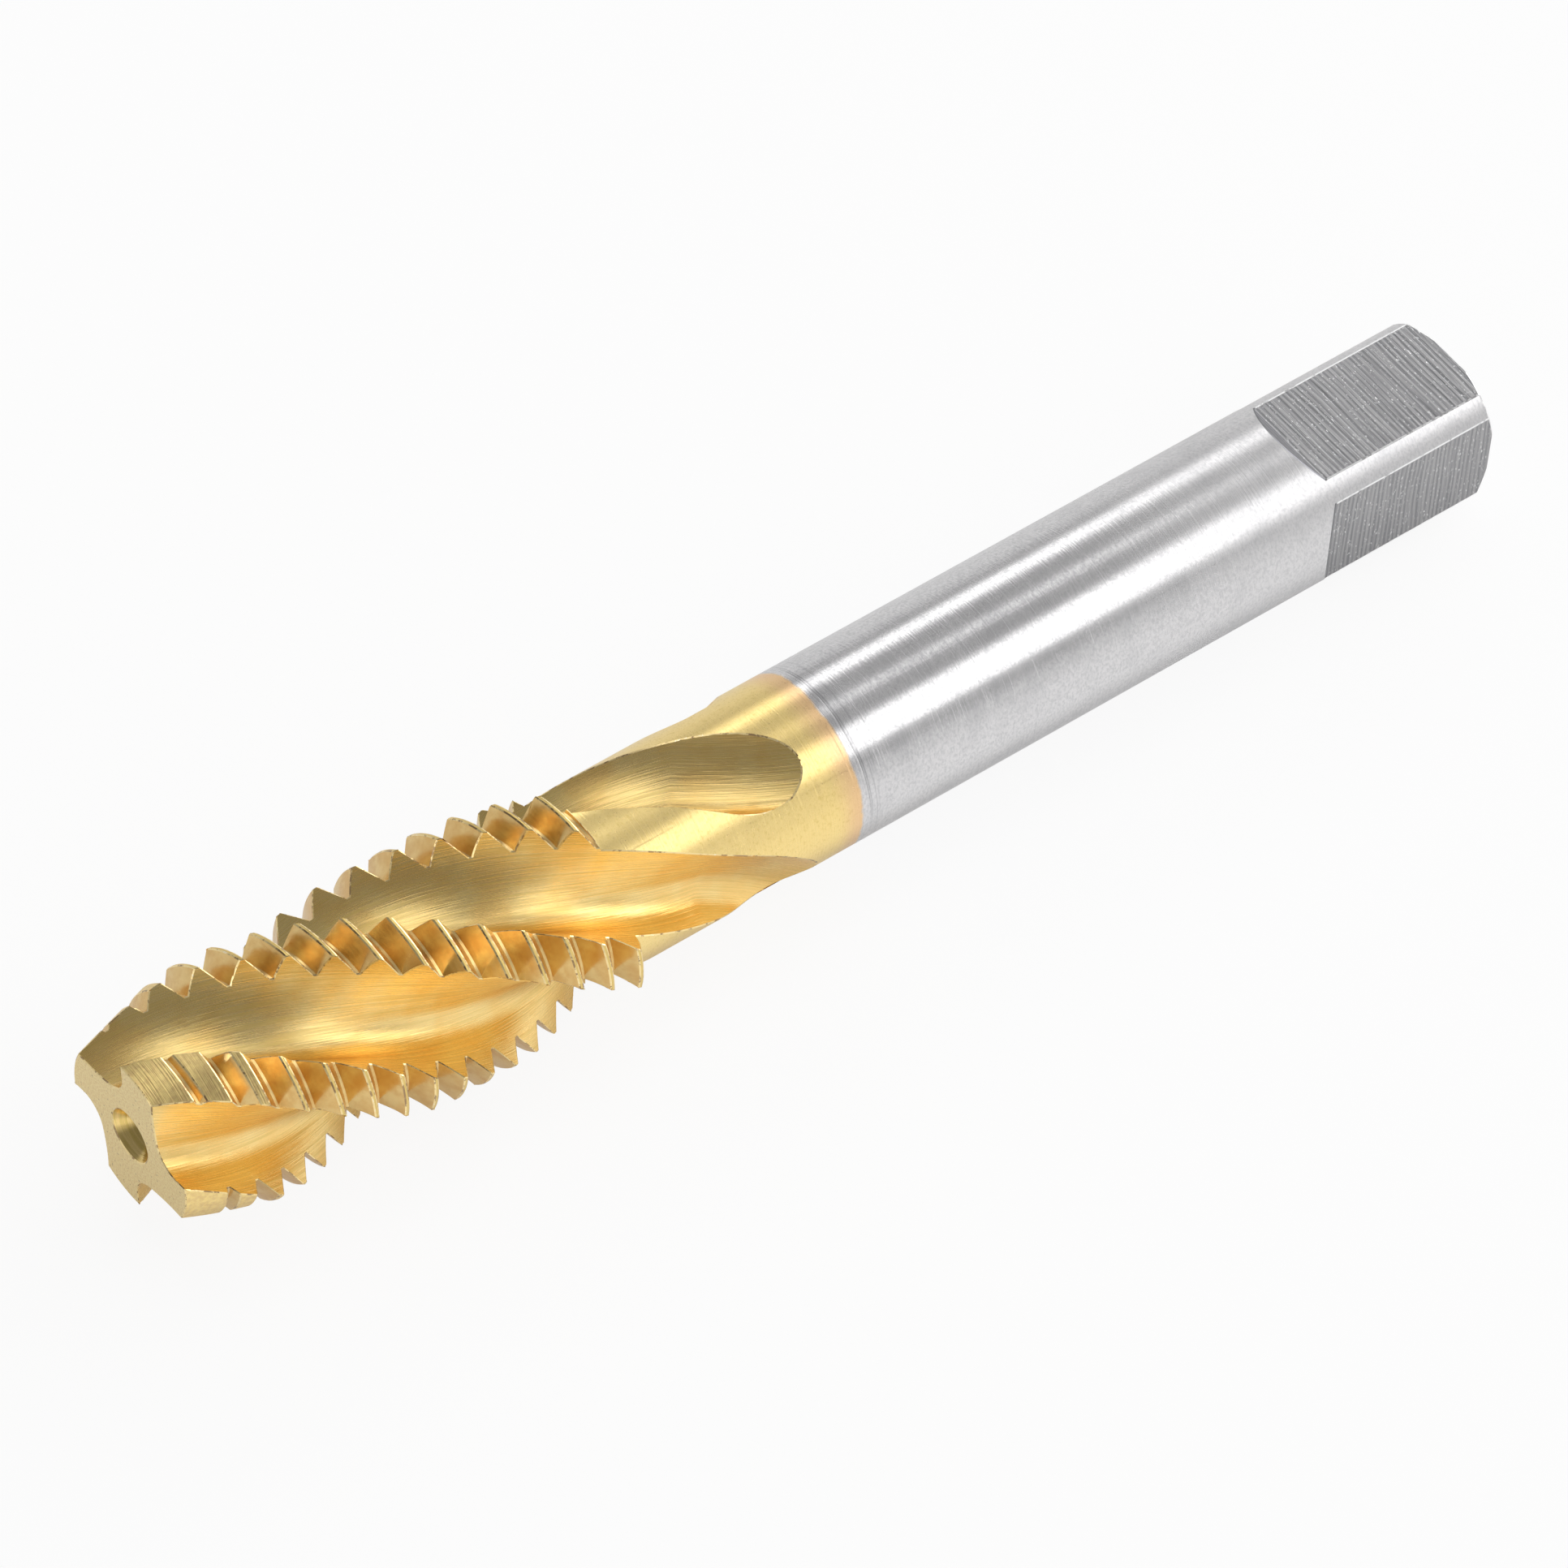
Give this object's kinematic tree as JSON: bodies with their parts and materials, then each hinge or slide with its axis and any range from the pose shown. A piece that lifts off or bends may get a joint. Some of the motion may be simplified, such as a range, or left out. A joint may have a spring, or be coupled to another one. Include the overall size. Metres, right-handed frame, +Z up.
{
  "type": "thread tap",
  "caption": "Spiral-flute machine tap for M14 x 2 threads: four right-hand flutes, tapered lead, plain round shank and a driving square.",
  "frame": {"origin": "middle of the flat face at the cutting tip, on the tap's axis", "axes": "+X along the axis from the tip to the driving square, +Z up and square to the square's upper flat, as the tap lies on a bench"},
  "size_m": [0.0931, 0.014, 0.014],
  "materials": {
    "tool_steel": "ground bright high-speed steel; from the tip to 46 mm back it carries a thin gold titanium nitride coating"
  },
  "bodies": {
    "root": {"spiral_flute_tap": "tool_steel"}
  },
  "joints": []
}
